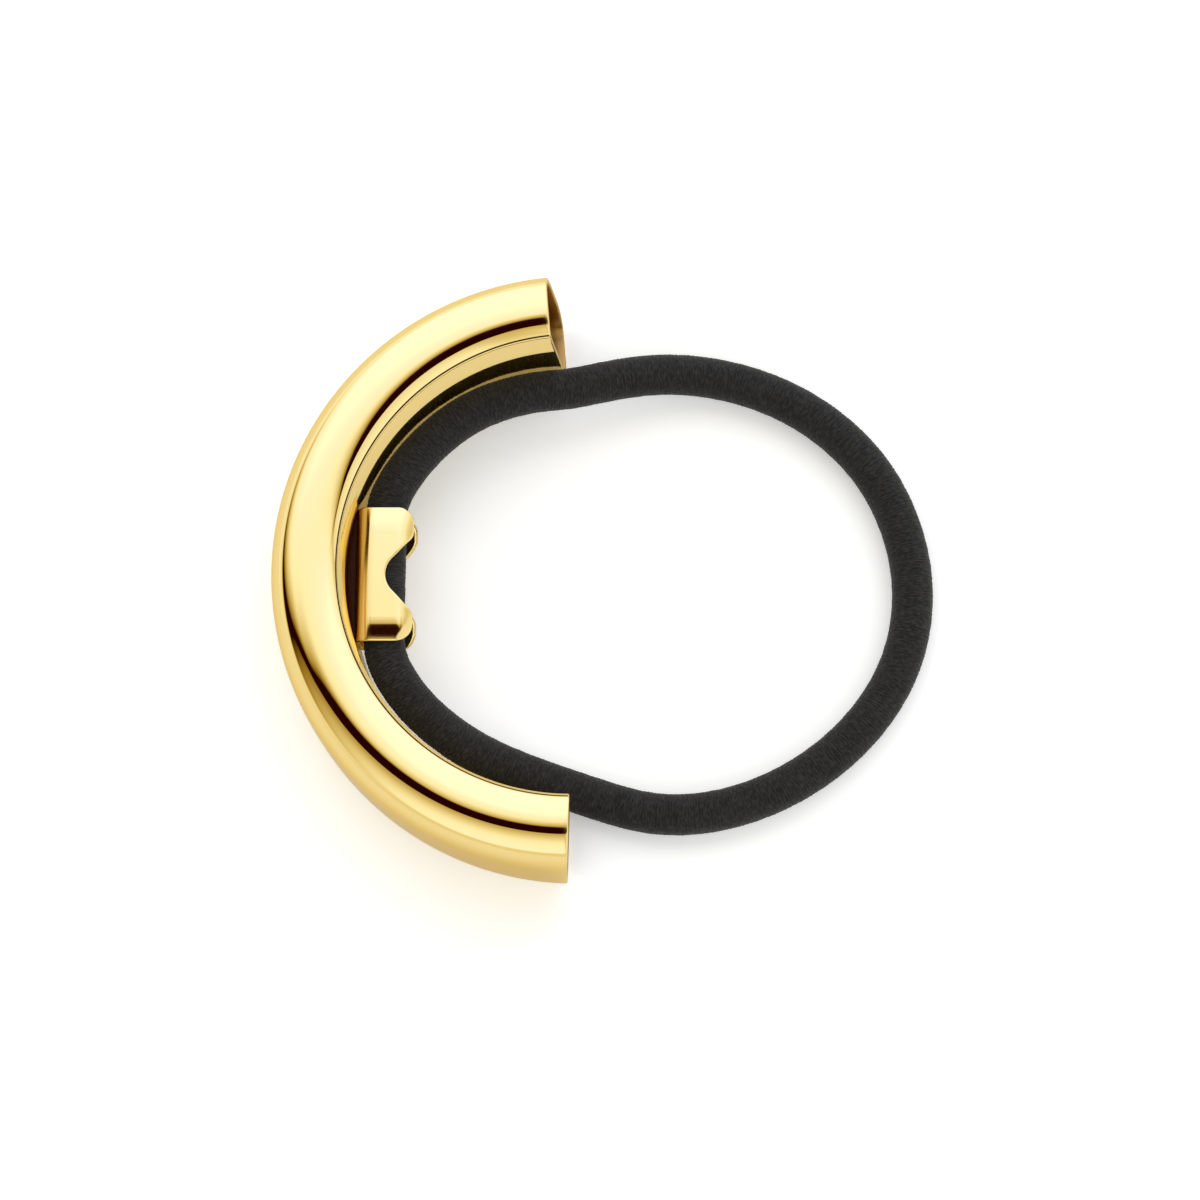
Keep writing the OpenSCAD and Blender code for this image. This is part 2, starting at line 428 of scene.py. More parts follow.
# %% Clip: the fold
CLIP_LENGTH = 13 * MM
CLIP_METAL = 0.5 * MM
CLIP_BEND = 1.5 * MM
CURL_HEIGHT = 3.9 * MM
CLIP_WRAP = math.radians(40)
HOLLOW_RADIUS = 2.1 * MM
WALL_RADIUS = HOLLOW_RADIUS + CLIP_METAL
CLIP_HEIGHT = CURL_HEIGHT + WALL_RADIUS * math.sin(CLIP_WRAP)
SOLDER_DEPTH = 0.15 * MM
CLIP_BASE = math.sqrt(INNER_RADIUS**2 - (CLIP_LENGTH / 2) ** 2) + SOLDER_DEPTH

FLAT = WALL_RADIUS - CLIP_BEND
BEND = CLIP_BEND * math.pi / 2
WALL = CURL_HEIGHT - CLIP_BEND
print("the clip's walls stand", round(CLIP_HEIGHT / MM, 2), "mm high")


def fold(distance):
    """Where a point of the sheet's outer face goes, and which way it faces.

    The sheet is followed from its middle line: along the base, round a quarter circle, up the
    wall, and round the curl. Returns (height, sideways) and the outward direction of each.
    """
    side = np.sign(distance)
    gone = np.abs(distance)
    bend = np.clip((gone - FLAT) / CLIP_BEND, 0, np.pi / 2)
    curl = np.clip((gone - FLAT - BEND - WALL) / WALL_RADIUS, 0, None)
    rise = np.clip(gone - FLAT - BEND, 0, WALL)
    lean = bend + curl
    height = CLIP_BEND * (1 - np.cos(bend)) + rise + WALL_RADIUS * np.sin(curl)
    sideways = (
        np.minimum(gone, FLAT) + CLIP_BEND * np.sin(bend) - WALL_RADIUS * (1 - np.cos(curl))
    )
    facing = np.stack([-np.cos(lean), side * np.sin(lean)], axis=-1)
    return np.stack([height, side * sideways], axis=-1), facing


def sheet_reach(height):
    """How far from the middle line the sheet has to reach for its edge to stand at this height."""
    curled = np.arcsin(np.clip((height - CURL_HEIGHT) / WALL_RADIUS, 0, 1)) * WALL_RADIUS
    return FLAT + BEND + np.clip(height - CLIP_BEND, None, WALL) + curled


# %% [markdown]
# ## The clip: its outline
# Seen from the front, each wall's edge is a lobe with a round outer corner and a rounder shoulder,
# a short straight flank and the notch's floor. The flank touches both circles beside it, so its
# lean follows from their distance and their radii.

# %% Clip: outline
NOTCH_FLOOR, NOTCH_RADIUS = 2.9 * MM, 2.2 * MM
SHOULDER_PLACE, SHOULDER_RADIUS = 4.2 * MM, 1.3 * MM
CORNER_RADIUS = 1.65 * MM
CORNER_POINTS, SHOULDER_POINTS, FLANK_POINTS, NOTCH_POINTS = 24, 20, 8, 22
SAME_PLACE = 1e-7


def wall_edge():
    """Points of one half of the wall's edge, as rows of (height, distance from the middle).

    The flank's lean is the angle from the notch's middle to the shoulder's, plus the arc cosine
    of the sum of their radii over their distance.
    """
    corner = np.array([CLIP_HEIGHT - CORNER_RADIUS, CLIP_LENGTH / 2 - CORNER_RADIUS])
    shoulder = np.array([CLIP_HEIGHT - SHOULDER_RADIUS, SHOULDER_PLACE])
    notch = np.array([NOTCH_FLOOR + NOTCH_RADIUS, 0])
    span = shoulder - notch
    lean = math.atan2(span[1], span[0]) + math.acos(
        (SHOULDER_RADIUS + NOTCH_RADIUS) / np.linalg.norm(span)
    )

    def arc(middle, radius, start, stop, count):
        turn = np.linspace(start, stop, count)
        return middle + radius * np.stack([np.cos(turn), np.sin(turn)], axis=-1)

    way = np.array([math.cos(lean), math.sin(lean)])
    flank = np.linspace(
        shoulder - SHOULDER_RADIUS * way, notch + NOTCH_RADIUS * way, FLANK_POINTS
    )
    return np.vstack([
        arc(corner, CORNER_RADIUS, math.pi / 2, 0, CORNER_POINTS),
        arc(shoulder, SHOULDER_RADIUS, 0, lean - math.pi, SHOULDER_POINTS),
        flank[1:-1],
        arc(notch, NOTCH_RADIUS, lean, math.pi, NOTCH_POINTS),
    ])


half_edge = wall_edge()
edge_place = np.concatenate([half_edge[:, 1], -half_edge[-2::-1, 1]])
edge_height = np.concatenate([half_edge[:, 0], half_edge[-2::-1, 0]])
keep = np.concatenate([[True], np.abs(np.diff(edge_place)) > SAME_PLACE])
edge_place, edge_height = edge_place[keep], edge_height[keep]
print("clip outline of", len(edge_place), "points")

# %% [markdown]
# ## The clip: the sheet with its thickness
# One row of the grid is a closed loop round the sheet: along the outer face, over the cut edge,
# back along the inner face, and over the other cut edge. The rows run from one end of the clip to
# the other, and at each end a few rows draw in to soften the corner before the end is closed.
# The columns of the base and the bends stay in line, and only those above them stretch. The
# stamp has drawn the sheet thinner towards both ends, so the walls' outer faces fall away there a
# little. Low on the bends a value makes the metal rougher and darkens it with painted brown shade.

# %% Clip: sheet
EDGE_ROUND, EDGE_WEAR = 0.13 * MM, 0.2 * MM
FACE_COLUMNS, LOBE_COLUMNS, EDGE_STEPS = 40, 22, 5
STEADY_REACH = FLAT + BEND + 0.5 * MM
THINNING_PER_MM, THINNING_FROM_MM = 0.02, 4.3
DULL_SHADE_FULL, DULL_SHADE_UP_TO, DULL_SHADE_FADE = 0.7, 1.1, 1.5


def sheet_loop(reach, inset):
    """Every row's loop round the sheet: (distance from the middle line, depth in the metal).

    The outer face comes first, then one cut edge, the inner face and the other edge. An edge is
    two quarter circles: its distance grows as their sine and its depth as one less their cosine.
    """
    lobe = np.linspace(STEADY_REACH, reach - inset - EDGE_ROUND, LOBE_COLUMNS + 1, axis=1)[:, 1:]
    reach, inset = reach[:, None], inset[:, None]
    low, high, far = inset, CLIP_METAL - inset, reach - inset
    quarter = np.linspace(0, np.pi / 2, EDGE_STEPS)[1:]
    half_face = np.hstack([np.linspace(0, STEADY_REACH, FACE_COLUMNS // 2) + 0 * far, lobe])
    face = np.hstack([-half_face[:, :0:-1], half_face])
    round_out = far - EDGE_ROUND + EDGE_ROUND * np.sin(quarter)
    round_in = low + EDGE_ROUND * (1 - np.cos(quarter))
    edge = np.hstack([round_out, round_out[:, ::-1]])
    deep = np.hstack([round_in, high + low - round_in[:, ::-1]])
    distance = np.hstack([face, edge, face[:, ::-1], -edge])
    depth = np.hstack([low + 0 * face, deep, high + 0 * face, high + low - deep])
    return distance, depth, face.shape[1]


def build_clip():
    """Folds the sheet and stands it on the tube's inner face, every row at once.

    A point is the fold's outer face moved inwards by its depth. Height runs from the base
    towards the C's axis, sideways along it, and the row's place along the elastic. The thinning
    grows with the square of the distance past its start.
    """
    soft = np.linspace(0, np.pi / 2, EDGE_STEPS)[:-1]
    end = CLIP_LENGTH / 2
    inner = np.abs(edge_place) < end - EDGE_ROUND
    place = np.concatenate([
        end - EDGE_ROUND * (1 - np.cos(soft)), edge_place[inner],
        (-end + EDGE_ROUND * (1 - np.cos(soft)))[::-1],
    ])
    inset = np.concatenate([
        EDGE_ROUND * (1 - np.sin(soft)), np.zeros(inner.sum()),
        (EDGE_ROUND * (1 - np.sin(soft)))[::-1],
    ])
    reach = sheet_reach(np.interp(place, edge_place[::-1], edge_height[::-1]))
    distance, depth, faces = sheet_loop(reach, inset)
    spot, facing = fold(distance)
    spot -= depth[..., None] * facing
    thinning = THINNING_PER_MM * np.maximum(np.abs(place) / MM - THINNING_FROM_MM, 0) ** 2 * MM
    spot[..., 1] -= thinning[:, None] * (1 - depth / CLIP_METAL) * spot[..., 1] / WALL_RADIUS
    points = C_MIDDLE + np.stack(
        np.broadcast_arrays(spot[..., 0] - CLIP_BASE, place[:, None], spot[..., 1]), axis=-1
    )
    # Low on the bends: rougher metal with painted brown shade.
    up_bend = (np.abs(distance) - FLAT) / BEND
    bend_dull_shade = np.clip(DULL_SHADE_FADE * (DULL_SHADE_UP_TO - up_bend), 0, 1) * (depth < CLIP_METAL)
    to_edge = np.minimum(reach[:, None] - np.abs(distance), (end - np.abs(place))[:, None])
    return points, np.exp(-to_edge / EDGE_WEAR), DULL_SHADE_FULL * bend_dull_shade, faces


clip_points, clip_worn, clip_dull_shade, clip_face_columns = build_clip()


def end_ladder(row, loop, faces):
    """Closes an end of the sheet: each step joins the outer face's points to the inner one's."""
    edge = (loop - 2 * faces) // 2
    outer = np.arange(faces) + row * loop
    back = (row * loop + 2 * faces + edge - 1) - np.arange(faces)
    return np.stack([outer[:-1], back[:-1], back[1:], outer[1:]], axis=-1)


def edge_ladder(row, loop, faces):
    """Closes the two rounded cut edges at the same end with ladders of their own."""
    edge = (loop - 2 * faces) // 2
    right = np.concatenate([[faces - 1], faces + np.arange(edge), [faces + edge]]) + row * loop
    left = (np.concatenate([[2 * faces + edge - 1], 2 * faces + edge + np.arange(edge), [loop]])
            % loop) + row * loop
    return np.vstack([fill_ring(right), fill_ring(left)])


loop_points = clip_points.shape[1]
clip_ends = np.vstack([
    end_ladder(0, loop_points, clip_face_columns),
    edge_ladder(0, loop_points, clip_face_columns),
    end_ladder(len(clip_points) - 1, loop_points, clip_face_columns)[:, ::-1],
    edge_ladder(len(clip_points) - 1, loop_points, clip_face_columns)[:, ::-1],
])
clip = add_surface(
    "cuff_clip", clip_points, extra_faces=clip_ends,
    values={"near_rim": clip_worn, "hollow": clip_dull_shade},
)
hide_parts("cuff")
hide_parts("cuff")
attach(clip, "root")

# %% [markdown]
# ## Painted shade in the gap under the clip
# The clip's base is straight and the tube is round, so a thin crescent stays open between the
# two. It is dark right through, as it lies in shade, so a strip with a rounded top and bottom
# fills the crescent, well below the clip's face, as painted shade.

# %% Painted gap shade: a crescent between clip and tube
# A dark strip of painted shade that fills the crescent under the clip.
GAP_FILL_HALF_LENGTH, GAP_FILL_HALF_HEIGHT, GAP_FILL_SUNK = 6 * MM, 1.4 * MM, 0.1 * MM
GAP_FILL_ROWS, GAP_FILL_COLUMNS, GAP_FILL_POWER = 41, 24, 0.4


def build_gap_shade_fill():
    """Rows of one closed loop each, across the crescent.

    The near side is the clip's base and the far side the tube's circle, x = root of (radius
    squared less y squared). Between them the loop is an ellipse raised to a soft box.
    """
    y = np.linspace(-GAP_FILL_HALF_LENGTH, GAP_FILL_HALF_LENGTH, GAP_FILL_ROWS)[:, None]
    turn = np.linspace(0, 2 * np.pi, GAP_FILL_COLUMNS, endpoint=False)[None, :]
    far = np.sqrt(INNER_RADIUS**2 - y**2) + GAP_FILL_SUNK
    near = CLIP_BASE - GAP_FILL_SUNK
    wide = np.sign(np.cos(turn)) * np.abs(np.cos(turn)) ** GAP_FILL_POWER
    high = np.sign(np.sin(turn)) * np.abs(np.sin(turn)) ** GAP_FILL_POWER
    x = (far + near) / 2 + (far - near) / 2 * wide
    return np.stack(np.broadcast_arrays(
        C_MIDDLE[0] - x, C_MIDDLE[1] + y, C_MIDDLE[2] + GAP_FILL_HALF_HEIGHT * high,
    ), axis=-1)


gap_fill_points = build_gap_shade_fill()
gap_fill_ring = np.arange(gap_fill_points.shape[1])
gap_shade_fill = add_surface(
    "clip_gap_shade_fill", gap_fill_points,
    extra_faces=np.vstack([
        fill_ring(gap_fill_ring),
        fill_ring((len(gap_fill_points) - 1) * len(gap_fill_ring) + gap_fill_ring)[:, ::-1],
    ]),
)
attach(gap_shade_fill, "root")

# %% [markdown]
# ## Faces that point outwards
# A swept grid can come out with its faces turned in. Blender can work out which way is out for a
# closed skin, so each piece is put right once it is whole.

# %% Turn the faces outwards
import bmesh


def face_outwards(piece):
    """Recalculates the normals of a closed skin and reports what it found."""
    work = bmesh.new()
    work.from_mesh(piece.data)
    bmesh.ops.recalc_face_normals(work, faces=work.faces)
    open_edges = sum(1 for edge in work.edges if len(edge.link_faces) != 2)
    volume = work.calc_volume(signed=True)
    if volume < 0:
        bmesh.ops.reverse_faces(work, faces=work.faces)
    work.to_mesh(piece.data)
    work.free()
    print(piece.name, "encloses", round(abs(volume) / MM**3, 1), "cubic mm,",
          open_edges, "open edges")


face_outwards(elastic)
face_outwards(tube)
face_outwards(clip)
face_outwards(gap_shade_fill)

# %% [markdown]
# ## The tube: how its inner face leans
# On the real tube the inner face is no true cylinder. Above and below the elastic it leans
# outwards a little, so it mirrors the open floor there instead of the black elastic. Turning the
# normals gives that light without moving a point, so nothing comes nearer to the elastic.

# %% Tube: leaning normals
INNER_LEAN = math.radians(22)
LEAN_FROM, LEAN_FULL = 2.6 * MM, 3.8 * MM
LEAST_SLOPE = 1e-9


def lean_inner_face(piece):
    """Raises the height's share of each inner normal to the sine of the lean.

    The lean grows from none to full between two heights, as 3 t squared less 2 t cubed. The
    other two parts of the normal are shortened to keep it one unit long.
    """
    count = len(piece.data.vertices)
    normals = np.empty(count * 3)
    piece.data.vertex_normals.foreach_get("vector", normals)
    normals = normals.reshape(-1, 3)
    relative = tube_points.reshape(-1, 3) - C_MIDDLE
    inner = (np.hypot(relative[:, 0], relative[:, 1]) < INNER_FACE) & (
        np.repeat(tube_inset, SECTION_POINTS) == 0
    )
    t = np.clip((np.abs(relative[:, 2]) - LEAN_FROM) / (LEAN_FULL - LEAN_FROM), 0, 1)
    least = np.sin(INNER_LEAN * (3 * t**2 - 2 * t**3)) * inner
    steep = np.maximum(np.abs(normals[:, 2]), least)
    shorten = np.sqrt((1 - steep**2) / np.maximum(1 - normals[:, 2] ** 2, LEAST_SLOPE))
    normals[:, :2] *= shorten[:, None]
    normals[:, 2] = np.where(inner, np.sign(relative[:, 2]), np.sign(normals[:, 2])) * steep
    piece.data.normals_split_custom_set_from_vertices(normals.tolist())
    print("leaning normals at", int((least > 0).sum()), "points")


lean_inner_face(tube)

# %% [markdown]
# ## Short hands for shader nodes
# Materials are networks of small boxes. A few helpers keep the cells short: one adds a box and
# sets its sockets, one does a sum with a Math node, and the others are for the boxes that come
# back most often, such as noise, a change of range, a mix of colours and a colour ramp.

# %% Shader helpers
def add_node(tree, kind, settings=None, **sockets):
    """Adds a shader node, sets its options, and fills or links its inputs by name."""
    box = tree.nodes.new(kind)
    for label, value in (settings or {}).items():
        setattr(box, label, value)
    for label, value in sockets.items():
        connect(tree, value, box.inputs[label.replace("_", " ")])
    return box


def connect(tree, value, socket):
    """Links a socket to another, or sets a plain value on it."""
    if isinstance(value, bpy.types.NodeSocket):
        tree.links.new(value, socket)
    else:
        socket.default_value = value


def sum_of(tree, operation, *terms):
    """One Math node: the operation on up to three numbers or sockets."""
    box = tree.nodes.new("ShaderNodeMath")
    box.operation = operation
    for socket, term in zip(box.inputs, terms):
        connect(tree, term, socket)
    return box.outputs[0]


def remap(tree, value, from_low, from_high, to_low=0.0, to_high=1.0, kind="LINEAR"):
    """Stretches one range of numbers to another, and holds what lies past its ends."""
    box = add_node(tree, "ShaderNodeMapRange", {"interpolation_type": kind})
    for socket, term in zip(box.inputs, (value, from_low, from_high, to_low, to_high)):
        connect(tree, term, socket)
    return box.outputs[0]


def mix_colours(tree, share, first, second):
    """First plus share times the difference between two colours."""
    box = add_node(tree, "ShaderNodeMix", {"data_type": "RGBA"})
    for number, term in ((0, share), (6, first), (7, second)):
        connect(tree, term, box.inputs[number])
    return box.outputs[2]


def ramp(tree, value, *stops):
    """A colour ramp through (place, colour) stops, given in order."""
    box = add_node(tree, "ShaderNodeValToRGB", Fac=value)
    marks = box.color_ramp.elements
    (marks[0].position, marks[0].color), (marks[1].position, marks[1].color) = stops[0], stops[-1]
    for place, colour in stops[1:-1]:
        marks.new(place).color = colour
    return box.outputs["Color"]


def noise(tree, vector, scale, detail, stretch=None):
    """Grey noise, about one wave per unit of the vector times the scale, stretched if asked."""
    if stretch:
        vector = add_node(tree, "ShaderNodeMapping", Vector=vector, Scale=stretch).outputs[0]
    return add_node(
        tree, "ShaderNodeTexNoise", Vector=vector, Scale=scale, Detail=detail
    ).outputs["Fac"]


def stored(tree, name, output="Fac"):
    """Reads a value that was stored with the mesh."""
    return add_node(tree, "ShaderNodeAttribute", {"attribute_name": name}).outputs[output]


def new_material(name):
    """A new material with its node tree and its shader."""
    material = bpy.data.materials.new(name)
    material.use_nodes = True
    print("material", name)
    return material, material.node_tree, material.node_tree.nodes["Principled BSDF"]


def new_group(name, inputs, outputs):
    """An empty shader node group with named sockets, and its two end boxes."""
    group = bpy.data.node_groups.new(name, "ShaderNodeTree")
    for label, kind, value in inputs:
        socket = group.interface.new_socket(label, in_out="INPUT", socket_type=kind)
        if value is not None:
            socket.default_value = value
    for label, kind in outputs:
        group.interface.new_socket(label, in_out="OUTPUT", socket_type=kind)
    return group, group.nodes.new("NodeGroupInput"), group.nodes.new("NodeGroupOutput")


NUMBER, COLOUR, VECTOR = "NodeSocketFloat", "NodeSocketColor", "NodeSocketVector"

# %% [markdown]
# ## Polished plate
# Gold plating over brass is as smooth as a mirror, but never perfect. Polishing leaves a very
# faint swell in the surface, the wheel leaves hair-fine lines, and handling dulls it in soft
# patches. The plating is a shade warmer where edges wear. In the tube's hollow, where no wheel
# reaches, the metal stays dull, and a painted brown shade darkens it there, beside the clip and
# low on the clip's bends. A fine dark maroon line of painted reflection runs along the tube's
# inner corners. One group makes all of this, and each gold piece uses it with its own strengths.

# %% Group: polished plate
PATCH_SCALE, SWELL_SCALE, WHEEL_LINES = 140.0, 260.0, (700.0, 700.0, 9000.0)
PATCH_DULL, WORN_DULL, HOLLOW_DULL, PATCH_WARM = 0.015, 0.12, 0.22, 0.35
PALE_GOLD, WARM_GOLD = (0.99, 0.80, 0.36, 1), (0.96, 0.74, 0.29, 1)
# Painted brown shade for the hollows and the clip's bends, and a painted dark maroon reflection
# line for the inner corners.
PAINTED_SHADE_BROWN, PAINTED_CREASE_MAROON = (0.5, 0.31, 0.1, 1), (0.03, 0.005, 0.002, 1)
CREASE_LINE_FULL_MM, CREASE_LINE_GONE_MM = 0.06, 0.11
LINE_STRENGTH, POLISH_DEPTH = 0.02, 0.02 * MM

plate, plate_in, plate_out = new_group(
    "polished_plate",
    [("Vector", VECTOR, None), ("Worn", NUMBER, 0), ("Hollow", NUMBER, 0),
     ("Seam", NUMBER, NO_CREASE_LINE), ("Gloss", NUMBER, 0.05), ("Swell", NUMBER, 0.3)],
    [("Colour", COLOUR), ("Roughness", NUMBER), ("Normal", VECTOR)],
)
given = plate_in.outputs
patches = noise(plate, given["Vector"], PATCH_SCALE, 3.0)
lines = noise(plate, given["Vector"], 1.0, 4.0, WHEEL_LINES)
swell = noise(plate, given["Vector"], SWELL_SCALE, 1.0)
worn = sum_of(plate, "MULTIPLY", given["Worn"], WORN_DULL)
roughness = sum_of(plate, "ADD", given["Gloss"], sum_of(plate, "MULTIPLY", patches, PATCH_DULL))
roughness = sum_of(
    plate, "MULTIPLY_ADD", given["Hollow"], HOLLOW_DULL, sum_of(plate, "ADD", roughness, worn)
)
warmth = sum_of(plate, "ADD", worn, sum_of(plate, "MULTIPLY", patches, PATCH_WARM))
plating = mix_colours(plate, warmth, PALE_GOLD, WARM_GOLD)
# Painted brown shade in the hollows, beside the clip and low on the clip's bends.
plating = mix_colours(plate, given["Hollow"], plating, PAINTED_SHADE_BROWN)
# A fine dark maroon line of painted reflection along the tube's inner corners.
on_painted_crease = remap(
    plate, sum_of(plate, "ABSOLUTE", given["Seam"]), CREASE_LINE_FULL_MM, CREASE_LINE_GONE_MM, 1.0, 0.0
)
plating = mix_colours(plate, on_painted_crease, plating, PAINTED_CREASE_MAROON)
fine = add_node(
    plate, "ShaderNodeBump", Height=lines, Strength=LINE_STRENGTH, Distance=POLISH_DEPTH
)
broad = add_node(
    plate, "ShaderNodeBump", Height=swell, Strength=given["Swell"], Distance=POLISH_DEPTH,
    Normal=fine.outputs[0],
)
connect(plate, plating, plate_out.inputs["Colour"])
connect(plate, roughness, plate_out.inputs["Roughness"])
connect(plate, broad.outputs[0], plate_out.inputs["Normal"])
print("group polished_plate has", len(plate.nodes), "nodes")

# %% [markdown]
# ## Gold on the tube and the clip
# The tube was polished to a mirror. The clip is a small stamping that the wheel reaches less well,
# so it is a little rougher and its surface swells more. Both use the plate group with their own
# values, and a warm tint at grazing angles keeps their outlines golden.

# %% Material: gold
GRAZING_GOLD = (1.0, 0.88, 0.6, 1)


def gold_finish(name, gloss, swell_strength, paints_crease):
    """A gold material: the plate group read in Object coordinates, worn where near_rim says."""
    material, tree, shader = new_material(name)
    group = add_node(
        tree, "ShaderNodeGroup", {"node_tree": plate},
        Vector=add_node(tree, "ShaderNodeTexCoord").outputs["Object"],
        Worn=stored(tree, "near_rim"), Hollow=stored(tree, "hollow"),
        Gloss=gloss, Swell=swell_strength,
    )
    if paints_crease:
        connect(tree, stored(tree, "crease_line_way"), group.inputs["Seam"])
    shader.inputs["Metallic"].default_value = 1.0
    shader.inputs["Specular Tint"].default_value = GRAZING_GOLD
    connect(tree, group.outputs["Colour"], shader.inputs["Base Color"])
    connect(tree, group.outputs["Roughness"], shader.inputs["Roughness"])
    connect(tree, group.outputs["Normal"], shader.inputs["Normal"])
    return material


tube.data.materials.append(
    gold_finish("polished_gold_tube", gloss=0.01, swell_strength=0.04, paints_crease=True)
)
clip.data.materials.append(
    gold_finish("polished_gold_clip", gloss=0.045, swell_strength=0.15, paints_crease=False)
)

# %% [markdown]
# ## Painted gap shade
# The strip in the gap is painted a dull dark maroon as shade, lumpy and a little uneven in
# colour.

# %% Material: painted gap shade
GAP_FILL_LUMP_SCALE, GAP_FILL_BUMP_STRENGTH, GAP_FILL_BUMP_DEPTH = 1500.0, 0.5, 0.05 * MM
GAP_FILL_ROUGH = (0.45, 0.7)
# Dark maroon colours of painted shade for the gap under the clip.
GAP_SHADE_DARK, GAP_SHADE_PALE = (0.018, 0.002, 0.001, 1), (0.05, 0.012, 0.005, 1)

gap_shade_paint, tree, shader = new_material("painted_gap_shade")
lumps = noise(tree, add_node(tree, "ShaderNodeTexCoord").outputs["Object"], GAP_FILL_LUMP_SCALE, 3.0)
connect(tree, ramp(tree, lumps, (0.0, GAP_SHADE_DARK), (1.0, GAP_SHADE_PALE)), shader.inputs["Base Color"])
connect(tree, remap(tree, lumps, 0.0, 1.0, *GAP_FILL_ROUGH), shader.inputs["Roughness"])
bumps = add_node(
    tree, "ShaderNodeBump", Height=lumps, Strength=GAP_FILL_BUMP_STRENGTH, Distance=GAP_FILL_BUMP_DEPTH
)
connect(tree, bumps.outputs[0], shader.inputs["Normal"])
shader.inputs["Specular IOR Level"].default_value = 0.1
gap_shade_fill.data.materials.append(gap_shade_paint)

# %% [markdown]
# ## Black elastic
# The cover is matt black yarn. Up close it is a fine knit: small loops in rows across the cord.
# Their crests are painted paler as highlight and the hollows darker as shade, with a random fade,
# and short paler strokes across the cord are painted glints where single fibres catch the light.
# Near the outline a little sheen does the same. The pattern reads the place along and round the
# cord that was stored with the mesh, so it follows every bend.

# %% Material: elastic
LOOP_STRETCH, FLECK_STRETCH = (6500.0, 3200.0, 3200.0), (6800.0, 1900.0, 1900.0)
FLUFF_SCALE, FADE_SCALE = 2600.0, 420.0
CREST_SHARE, FADE_SHARE, LOOP_SHARE = 0.7, 0.3, -0.6
# Yarn colours: dark in the painted shade of the hollows, pale as painted highlight on the crests,
# and grey for painted glints.
DARK_YARN, CREST_HIGHLIGHT_YARN, FIBRE_GLINT_GREY = (
    (0.003, 0.003, 0.0029, 1), (0.0145, 0.0139, 0.0136, 1), (0.052, 0.05, 0.051, 1)
)
FLECK_FROM, FLECK_FULL, MOST_FLECK = 0.4, 0.74, 0.5
PILE_STRENGTH, PILE_DEPTH, PILE_ROUGH = 0.8, 0.07 * MM, (0.7, 0.95)

knit, tree, shader = new_material("black_elastic_cover")
cord_place = stored(tree, "cord_place", "Vector")
loops = add_node(
    tree, "ShaderNodeTexVoronoi", {"feature": "F1"},
    Vector=add_node(tree, "ShaderNodeMapping", Vector=cord_place, Scale=LOOP_STRETCH).outputs[0],
    Scale=1.0,
)
fluff = noise(tree, cord_place, FLUFF_SCALE, 4.0)
faded = noise(tree, cord_place, FADE_SCALE, 2.0)
specks = noise(tree, cord_place, 1.0, 2.0, FLECK_STRETCH)
# Crests painted paler as highlight and hollows darker as shade, with a random fade.
crest = sum_of(tree, "MULTIPLY", stored(tree, "ridge"), fluff)
crest_light_and_fade = sum_of(tree, "ADD", sum_of(tree, "MULTIPLY", crest, CREST_SHARE),
                 sum_of(tree, "MULTIPLY", faded, FADE_SHARE))
yarn = ramp(tree, crest_light_and_fade, (0.22, DARK_YARN), (0.62, CREST_HIGHLIGHT_YARN))
# Painted glints: short paler strokes where single fibres catch the light.
glint_flecks = remap(tree, specks, FLECK_FROM, FLECK_FULL, 0.0, MOST_FLECK)
yarn = mix_colours(tree, glint_flecks, yarn, FIBRE_GLINT_GREY)
relief = sum_of(tree, "ADD", sum_of(tree, "MULTIPLY", loops.outputs["Distance"], LOOP_SHARE),
                sum_of(tree, "ADD", fluff, specks))
pile = add_node(
    tree, "ShaderNodeBump", Height=relief, Strength=PILE_STRENGTH, Distance=PILE_DEPTH
)
connect(tree, yarn, shader.inputs["Base Color"])
connect(tree, remap(tree, fluff, 0.0, 1.0, *PILE_ROUGH), shader.inputs["Roughness"])
connect(tree, pile.outputs[0], shader.inputs["Normal"])
shader.inputs["Specular IOR Level"].default_value = 0.25
shader.inputs["Sheen Weight"].default_value = 0.12
shader.inputs["Sheen Roughness"].default_value = 0.5
elastic.data.materials.append(knit)

# %% [markdown]
# ## The floor
# A plain white floor, large enough that its edge never shows, with a faint glow of its own as a
# photographer's light table has. It also matters for the gold: the lower half of every reflection
# is floor, and there it is toned down a little, as the shade of the camera and its stand would do.

# %% Floor
FLOOR_HALF = 1.5
FLOOR_SEEN, FLOOR_MIRRORED = (0.95, 0.955, 0.97, 1), (0.84, 0.82, 0.78, 1)
FLOOR_GLOW, GLOW_STRENGTH = (0.92, 0.96, 1, 1), 0.26

floor = add_surface("floor", np.array([
    [[-FLOOR_HALF, -FLOOR_HALF, 0], [FLOOR_HALF, -FLOOR_HALF, 0]],
    [[-FLOOR_HALF, FLOOR_HALF, 0], [FLOOR_HALF, FLOOR_HALF, 0]],
]), joined_columns=False)
floor_paint, tree, shader = new_material("pale_floor")
mirrored = add_node(tree, "ShaderNodeLightPath").outputs["Is Glossy Ray"]
connect(tree, mix_colours(tree, mirrored, FLOOR_SEEN, FLOOR_MIRRORED), shader.inputs["Base Color"])
connect(tree, sum_of(tree, "MULTIPLY_ADD", mirrored, -GLOW_STRENGTH, GLOW_STRENGTH),
        shader.inputs["Emission Strength"])
shader.inputs["Emission Color"].default_value = FLOOR_GLOW
shader.inputs["Roughness"].default_value = 0.9
shader.inputs["Specular IOR Level"].default_value = 0.1
floor.data.materials.append(floor_paint)

# %% [markdown]
# ## The studio
# Polished metal shows nothing but its surroundings, so the bands along the tube are the studio
# itself: two large soft boxes overhead with a dark gap between them, the far one brighter. The
# world's light is worked out from the direction of each ray, with sums on Math nodes, which get
# short names first.

# %% Studio: sums
from functools import partial

